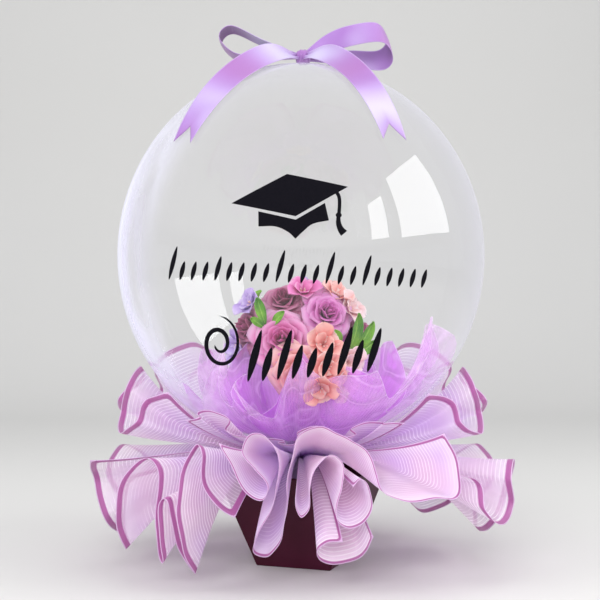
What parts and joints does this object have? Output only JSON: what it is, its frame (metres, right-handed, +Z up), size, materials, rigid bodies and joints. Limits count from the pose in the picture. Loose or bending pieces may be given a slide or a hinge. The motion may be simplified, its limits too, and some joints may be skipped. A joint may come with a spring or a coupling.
{
  "type": "clear bubble balloon",
  "caption": "Sealed clear bubble balloon standing by its neck in a tapered square pot, with a ruffled gauze collar and a ribbon bow on top.",
  "frame": {"origin": "centre of the pot's underside", "axes": "+Z up; -Y towards the front, the side the lettering faces; +X to the right as seen from the front"},
  "size_m": [0.4563, 0.4388, 0.5918],
  "materials": {
    "pot_card": "matt dark maroon card",
    "clear_film": "clear glossy stretch film",
    "gauze": "thin ribbed lilac gauze with an orchid satin hem",
    "satin": "lilac satin ribbon"
  },
  "bodies": {
    "root": {"pot": "pot_card", "balloon": "clear_film", "wrap_front_left": "gauze", "wrap_front_right": "gauze", "wrap_front_middle": "gauze", "wrap_front_foot": "gauze", "wrap_front_high": "gauze", "wrap_left_low": "gauze", "wrap_right_low": "gauze", "wrap_back": "gauze", "wrap_left_high": "gauze", "wrap_right_high": "gauze", "ribbon_bow": "satin"}
  },
  "joints": []
}
